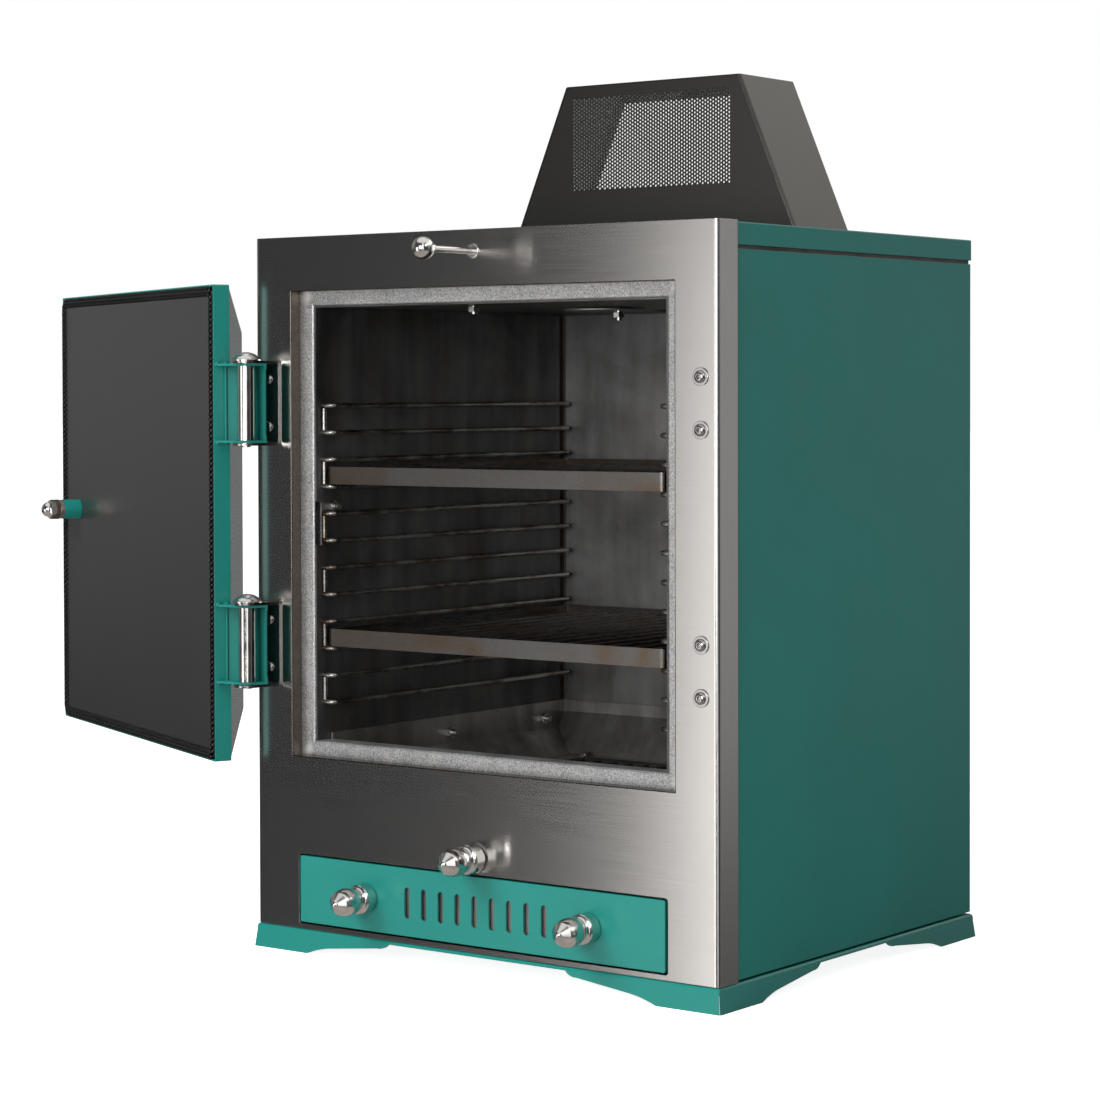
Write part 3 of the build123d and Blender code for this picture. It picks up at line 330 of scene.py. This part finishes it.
def galvanised(name):
    """Zinc coated square tube, with pale cleaned patches round the corner welds."""
    material, tree, shader = new_material(name)
    coords = place(tree)
    cells = add(tree, "ShaderNodeTexVoronoi", {"Vector": coords, "Scale": 160.0})
    cloud = noise(tree, coords, 35.0, 5.0, 0.65)
    low, high = (Vector(v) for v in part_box("seat_frame"))
    grit = noise(tree, coords, 600.0, 2.0, 0.8)
    split = add(tree, "ShaderNodeSeparateXYZ", {"Vector": coords})
    half = (high.x - low.x) / 2 - TUBE / 2
    middle, rise = (low.z + high.z) / 2, (high.z - low.z) / 2 - TUBE / 2
    off_x = math_node(tree, "SUBTRACT", math_node(tree, "ABSOLUTE", split.outputs["X"]), half)
    height = math_node(tree, "ABSOLUTE", math_node(tree, "SUBTRACT", split.outputs["Z"], middle))
    off_z = math_node(tree, "SUBTRACT", height, rise)
    gap = math_node(tree, "SQRT", math_node(tree, "MULTIPLY_ADD", off_x, off_x,
                                            math_node(tree, "MULTIPLY", off_z, off_z)))
    ragged = math_node(tree, "MULTIPLY_ADD", cloud, WELD_RAGGED, gap)
    weld = spread(tree, ragged, 1.0, 0.0, *WELD_REACH)
    tone = math_node(tree, "MULTIPLY_ADD", cloud, 0.25, grit)
    grey = blend_colour(tree, spread(tree, tone, 0.0, 1.0, 0.46, 0.80), (0.22, 0.22, 0.22),
                        (0.68, 0.68, 0.68))
    flecked = blend_colour(tree, 0.10, (0.4, 0.4, 0.4), cells.outputs["Color"])
    sparkle = add(tree, "ShaderNodeMix", {"Factor": 0.25, "A": grey, "B": flecked},
                  data_type="RGBA", blend_type="OVERLAY").outputs["Result"]
    tree.links.new(blend_colour(tree, weld, sparkle, WELD_WHITE), shader.inputs["Base Color"])
    shader.inputs["Metallic"].default_value = 0.85
    tree.links.new(spread(tree, cloud, 0.34, 0.55), shader.inputs["Roughness"])
    bump(tree, shader, grit, 0.00010, 0.001)
    return material


def rolled_steel(name, dark, light, rough=0.42):
    """Bare hot rolled sheet: dark scale with paler rubbed clouds, streaks and brown tints."""
    material, tree, shader = new_material(name)
    cloud = noise(tree, place(tree), 6.0, 7.0, 0.6, 0.6)
    streak = noise(tree, place(tree, (26, 26, 2.5)), 1.0, 5.0, 0.6)
    brown = noise(tree, place(tree), 14.0, 4.0, 0.5, 0.3)
    tone = spread(tree, math_node(tree, "MULTIPLY_ADD", streak, 0.6, cloud), 0.0, 1.0, 0.6, 1.1)
    base = blend_colour(tree, tone, dark, light)
    share = spread(tree, brown, 0.0, BROWN_SHARE, 0.45, 0.75)
    tree.links.new(blend_colour(tree, share, base, BROWN_SCALE), shader.inputs["Base Color"])
    shader.inputs["Metallic"].default_value = 0.8
    tree.links.new(spread(tree, cloud, rough * 0.75, rough * 1.3), shader.inputs["Roughness"])
    bump(tree, shader, streak, 0.00008, 0.0006)
    return material


def tinted_wire(name, clean, brown, patch_scale=9.0):
    """Bright drawn wire and flat bar with straw and brown heat tints."""
    material, tree, shader = new_material(name)
    patch = noise(tree, place(tree), patch_scale, 4.0, 0.55, 0.5)
    fine = noise(tree, place(tree, (900, 30, 900)), 1.0, 3.0)
    tree.links.new(blend_colour(tree, spread(tree, patch, 0.0, 1.0, 0.42, 0.62), clean, brown),
                   shader.inputs["Base Color"])
    shader.inputs["Metallic"].default_value = 1.0
    tree.links.new(spread(tree, fine, 0.22, 0.4), shader.inputs["Roughness"])
    bump(tree, shader, fine, 0.00002, 0.0006)
    return material


def enamel(name, colour, rough=0.36, coat=0.15):
    """Satin stove enamel with a faint orange peel."""
    material, tree, shader = new_material(name)
    peel = noise(tree, place(tree), 420.0, 2.0)
    wear = noise(tree, place(tree), 5.0, 5.0, 0.55)
    deep = tuple(0.88 * c for c in colour)
    tree.links.new(blend_colour(tree, spread(tree, wear, 0.0, 1.0), deep, colour),
                   shader.inputs["Base Color"])
    tree.links.new(spread(tree, wear, rough * 0.9, rough * 1.15), shader.inputs["Roughness"])
    shader.inputs["Coat Weight"].default_value = coat
    shader.inputs["Specular IOR Level"].default_value = 0.4
    shader.inputs["Coat Roughness"].default_value = 0.25
    bump(tree, shader, peel, 0.00003, 0.0012)
    return material


def cast_iron(name):
    """Rough casting with ash in its grain."""
    material, tree, shader = new_material(name)
    grit = noise(tree, place(tree), 700.0, 3.0, 0.6)
    ash = noise(tree, place(tree), 30.0, 5.0, 0.6)
    tree.links.new(blend_colour(tree, spread(tree, ash, 0.0, 1.0), (0.022, 0.021, 0.020),
                                (0.075, 0.070, 0.064)), shader.inputs["Base Color"])
    shader.inputs["Metallic"].default_value = 0.6
    shader.inputs["Roughness"].default_value = 0.7
    bump(tree, shader, grit, 0.0003, 0.0008)
    return material


def braid(name, painted_shade, crown):
    """Glass rope: near black painted shade between the strands and paler painted highlights on
    their crowns.
    """
    material, tree, shader = new_material(name)
    relief = add(tree, "ShaderNodeAttribute", attribute_name=RELIEF).outputs["Fac"]
    strands = noise(tree, place(tree), 1500.0, 3.0, 0.6)
    # painted shade in the hollows and painted highlight on the crowns, following the rope's
    # relief with some random strand variation
    relief_shade_and_highlight = math_node(tree, "MULTIPLY", relief, spread(tree, strands, 0.4, 1.0))
    tree.links.new(blend_colour(tree, spread(tree, relief_shade_and_highlight, 0.0, 1.0, 0.45, 0.9), painted_shade, crown),
                   shader.inputs["Base Color"])
    shader.inputs["Roughness"].default_value = 0.8
    tree.links.new(spread(tree, relief, 0.0, 0.2, 0.5, 1.0), shader.inputs["Specular IOR Level"])
    return material


def wool(name, dark, light):
    """Matted mineral fibre."""
    material, tree, shader = new_material(name)
    strands = noise(tree, place(tree, (1, 1, 3)), FIBRE, 6.0, 0.7, 1.2)
    tree.links.new(blend_colour(tree, spread(tree, strands, 0.0, 1.0), dark, light),
                   shader.inputs["Base Color"])
    shader.inputs["Roughness"].default_value = 0.95
    shader.inputs["Sheen Weight"].default_value = 0.15
    bump(tree, shader, strands, 0.0006)
    return material


def dress_nodes():
    """Give every CAD node its material, and return the hood's, which its window shares."""
    facade = brushed_steel("facade_steel", (0.60, 0.585, 0.57), (0.50, 0.49, 0.475), 0.18, "x")
    hood = brushed_steel("hood_steel", (0.085, 0.080, 0.075), (0.068, 0.065, 0.061), 0.30, "x",
                         anisotropy=0.5)
    # painted shade: the facade's faces towards the middle of its box, the mouth's reveal walls
    # among them, painted dark brown
    recolour_inside(facade, "facade", (0.13, 0.11, 0.095), 1.0)
    # painted light: the hood's inner faces, seen through the window's holes, painted pale to
    # stand for the light inside the hood
    recolour_inside(hood, "hood_shell", (0.62, 0.61, 0.59), 0.2)
    skin = brushed_steel("door_steel", (0.58, 0.57, 0.56), (0.40, 0.39, 0.38), 0.26, "x",
                         DOOR_TURN, 0.4)
    bracket = brushed_steel("bracket_steel", (0.36, 0.35, 0.34), (0.30, 0.29, 0.28), 0.20, "z",
                            anisotropy=0.3)
    green = enamel("green_enamel", GREEN)
    # painted shade: the door brackets get a darker copy of the green enamel
    shaded = enamel("bracket_enamel_painted_shade", PAINTED_SHADE_GREEN, 0.6, 0.0)
    panel = enamel("charcoal_enamel", CHARCOAL, 0.22)
    washer = polished_steel("washer_steel", (0.46, 0.45, 0.44), 0.16)
    polished = polished_steel("polished_steel")
    bolts = polished_steel("bolt_steel", (0.66, 0.65, 0.63), 0.22)
    brown_nut = polished_steel("brown_nut_steel", (0.30, 0.22, 0.16), 0.32)
    side = rolled_steel("liner_steel", (0.05, 0.05, 0.05), (0.20, 0.20, 0.20))
    # painted light: the back wall, baffle and firebed are the liner's rolled sheet in paler
    # copies of its colours, standing for the light on them
    back = rolled_steel("back_steel_painted_light", (0.14, 0.14, 0.14), (0.42, 0.415, 0.41))
    floor = rolled_steel("firebed_steel_painted_light", (0.16, 0.155, 0.15), (0.55, 0.54, 0.52), 0.34)
    plain = rolled_steel("sheet_steel", (0.05, 0.045, 0.04), (0.16, 0.15, 0.14), 0.4)
    tray = rolled_steel("tray_steel", (0.34, 0.29, 0.28), (0.55, 0.48, 0.46), 0.5)
    rack = tinted_wire("rack_steel", (0.145, 0.142, 0.14), (0.13, 0.10, 0.075))
    runner = tinted_wire("runner_steel", (0.40, 0.39, 0.37), (0.16, 0.12, 0.09), 14.0)
    zinc = galvanised("galvanised_tube")
    iron = cast_iron("grate_iron")
    fluff = wool("mineral_wool", (0.035, 0.028, 0.02), (0.09, 0.075, 0.055))
    looks = {
        facade: ["facade"],
        hood: ["hood_shell"],
        skin: ["door_skin"],
        bracket: ["hinge_bracket_upper", "hinge_bracket_lower"],
        green: ["body_wrap", "cap_lid", "plinth", "door_frame", "latch_boss", "drawer_front"],
        shaded: ["door_bracket_upper", "door_bracket_lower"],
        panel: ["door_inner_panel"],
        zinc: ["seat_frame"],
        side: ["liner_left", "liner_right", "liner_ceiling"],
        back: ["liner_back", "heat_baffle"],
        floor: ["firebed_plates"],
        plain: ["riddling_plate", "base_plate", "flue_pipe", "deck"],
        tray: ["drawer_tray"],
        rack: ["rack_upper", "rack_lower"],
        runner: ["runners_left", "runners_right"],
        iron: ["fire_grate"],
        fluff: ["insulation", "door_insulation"],
        bolts: ["ceiling_bolts", "liner_bolts", "damper_plate"],
        washer: ["facade_bolts", "plug_washers"],
        brown_nut: ["latch_locknut"],
        polished: ["hinge_pin_upper", "hinge_pin_lower", "hinge_sleeve_upper",
                   "hinge_sleeve_lower", "drawer_knob_left", "drawer_knob_right",
                   "riddling_knob", "riddling_rod", "damper_rod", "damper_ball", "damper_bush",
                   "latch_spindle", "latch_cam", "latch_acorn_nut", "handle_lever",
                   "handle_grip", "handle_bush"],
    }
    for material, names in looks.items():
        for name in names:
            mesh = frame["nodes"][name].data
            mesh.materials.clear()
            mesh.materials.append(material)
    return hood


# ---- perforated window --------------------------------------------------------------------
HOLE_PITCH = 0.0048  # from hole to hole up a column
COLUMN_PITCH = 0.0040
HOLE_RADIUS = 0.0016
HOLE_SIDES = 6


def new_piece(name, points, faces, material, smooth=False):
    """Object from points and faces."""
    mesh = bpy.data.meshes.new(name)
    mesh.from_pydata(points, [], faces)
    mesh.validate()
    mesh.update()
    mesh.materials.append(material)
    if smooth:
        mesh.shade_smooth()
    piece = bpy.data.objects.new(name, mesh)
    bpy.context.collection.objects.link(piece)
    return piece


def perforated_sheet(node, name, material):
    """Sheet with staggered columns of six-sided holes, filling its CAD node's box."""
    low, high = (Vector(v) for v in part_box(node))
    steps = 2 * int((high.z - low.z) / HOLE_PITCH)
    columns = int((high.x - low.x) / COLUMN_PITCH)
    step_x, step_z = (high.x - low.x) / columns, (high.z - low.z) / steps
    points = [(low.x + column * step_x, y, low.z + step * step_z) for y in (low.y, high.y)
              for column in range(columns + 1) for step in range(steps + 1)]
    faces = []

    def corner(step, column, side):
        return (side * (columns + 1) + column) * (steps + 1) + step

    for column in range(columns):
        first = column % 2
        for step in range(first, steps - 1, 2):
            middle_x = low.x + (column + 0.5) * step_x
            middle_z = low.z + (step + 1) * step_z
            rims = []
            for side, y in enumerate((low.y, high.y)):
                rims.append(len(points))
                for turn in range(HOLE_SIDES):
                    angle = 2 * math.pi * turn / HOLE_SIDES
                    points.append((middle_x + HOLE_RADIUS * math.cos(angle), y,
                                   middle_z + HOLE_RADIUS * math.sin(angle)))
                edge = [corner(step + 1, column + 1, side), corner(step + 2, column + 1, side),
                        corner(step + 2, column, side), corner(step + 1, column, side),
                        corner(step, column, side), corner(step, column + 1, side)]
                for turn in range(HOLE_SIDES):
                    after = (turn + 1) % HOLE_SIDES
                    face = (edge[turn], edge[after], rims[side] + after, rims[side] + turn)
                    faces.append(face[::-1] if side else face)
            for turn in range(HOLE_SIDES):
                after = (turn + 1) % HOLE_SIDES
                faces.append((rims[0] + turn, rims[0] + after, rims[1] + after, rims[1] + turn))
        for step in ((0, steps - 1) if first else ()):
            for side in (0, 1):
                face = (corner(step, column, side), corner(step, column + 1, side),
                        corner(step + 1, column + 1, side), corner(step + 1, column, side))
                faces.append(face[::-1] if side else face)
    border = [(0, column) for column in range(columns)]
    border += [(step, columns) for step in range(steps)]
    border += [(steps, column) for column in range(columns, 0, -1)]
    border += [(step, 0) for step in range(steps, 0, -1)]
    for index, here in enumerate(border):
        after = border[(index + 1) % len(border)]
        faces.append((corner(*here, 1), corner(*after, 1), corner(*after, 0), corner(*here, 0)))
    piece = new_piece(name, points, faces, material)
    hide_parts(node)
    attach(piece, "cabinet")
    return piece


# ---- door rope ----------------------------------------------------------------------------
DOOR_CENTRE_Z = joints["door_swing"]["pos_m"][2]
ROPE_RADIUS = 0.0082
ROPE_HALF = 0.2922  # from the door's centre to the middle of the rope
ROPE_Y = -0.3009  # middle of the rope while the door is shut
ROPE_RISE = 0.0075  # from the middle of the rope to its crown
RIM_Y = -0.2975  # the door's rim, past which the rope bulges over its channel
CHANNEL = (0.2860, 0.298)  # inner and outer walls, from the door's centre
ROPE_CORNER = 0.010
ROPE_SIDES = 20
ROPE_STEP = 0.0015
BRAID_PITCH = 0.0070
BRAID_STRANDS = 6
BRAID_DEPTH = 0.0022
# painted shade between the rope's strands and painted highlight on their crowns
BRAID_PAINTED_SHADE = (0.001, 0.001, 0.001)
BRAID_PAINTED_HIGHLIGHT = (0.12, 0.12, 0.115)


def hang(point):
    """Move a point of the shut door to where the door stands at rest."""
    swing = joints["door_swing"]
    pivot = Vector(swing["pos_m"])
    shutting = Matrix.Rotation(math.radians(swing["range_deg"][0]), 3, Vector(swing["axis"]))
    return shutting.inverted() @ (Vector(point) - pivot) + pivot


def rounded_square(half, corner, step):
    """Points, and outward directions, round a square with rounded corners."""
    straight = 2 * (half - corner)
    arc = corner * math.pi / 2
    places = []
    for side in range(4):
        turn = Matrix.Rotation(-math.pi / 2 * side, 2)
        count = round(straight / step)
        for index in range(count):
            along = -straight / 2 + straight * index / count
            places.append((turn @ Vector((along, half)), turn @ Vector((0, 1))))
        count = max(6, round(arc / step))
        for index in range(count):
            angle = math.pi / 2 * index / count
            out = Vector((math.sin(angle), math.cos(angle)))
            centre = Vector((half - corner, half - corner))
            places.append((turn @ (centre + corner * out), turn @ out))
    return places


def rope(material):
    """Braided rope pressed in its channel round the inside of the door, and bulging over it."""
    places = rounded_square(ROPE_HALF, ROPE_CORNER, ROPE_STEP)
    points, faces, crowns = [], [], []
    length = 8 * ROPE_HALF
    turns = round(length / BRAID_PITCH)
    total = len(places)
    for ring, (spot, out) in enumerate(places):
        along = 2 * math.pi * turns * ring / total
        for side in range(ROPE_SIDES):
            angle = 2 * math.pi * side / ROPE_SIDES
            first = math.sin(BRAID_STRANDS / 2 * angle + along / 2)
            second = math.sin(BRAID_STRANDS / 2 * angle - along / 2)
            crown = math.sqrt(abs(first * second))
            crowns.append(crown)
            radius = ROPE_RADIUS - BRAID_DEPTH * (1 - crown)
            across, outward = radius * math.cos(angle), radius * math.sin(angle)
            across *= ROPE_RISE / ROPE_RADIUS
            if ROPE_Y + across < RIM_Y:
                outward = min(max(outward, CHANNEL[0] - ROPE_HALF), CHANNEL[1] - ROPE_HALF)
            points.append(hang((spot.x + out.x * outward, ROPE_Y + across,
                                DOOR_CENTRE_Z + spot.y + out.y * outward)))
    for ring in range(total):
        for side in range(ROPE_SIDES):
            after, beside = (ring + 1) % total, (side + 1) % ROPE_SIDES
            faces.append((ring * ROPE_SIDES + side, after * ROPE_SIDES + side,
                          after * ROPE_SIDES + beside, ring * ROPE_SIDES + beside))
    piece = new_piece("door_rope", points, faces, material, smooth=True)
    relief = piece.data.attributes.new(RELIEF, "FLOAT", "POINT")
    relief.data.foreach_set("value", crowns)
    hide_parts("door_gasket")
    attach(piece, "door")
    return piece


# ---- build --------------------------------------------------------------------------------
make_camera()
make_stage()
hood_steel = dress_nodes()
perforated_sheet("hood_mesh", "hood_window", hood_steel)
rope(braid("glass_rope", BRAID_PAINTED_SHADE, BRAID_PAINTED_HIGHLIGHT))
bpy.context.scene.view_settings.view_transform = "Standard"
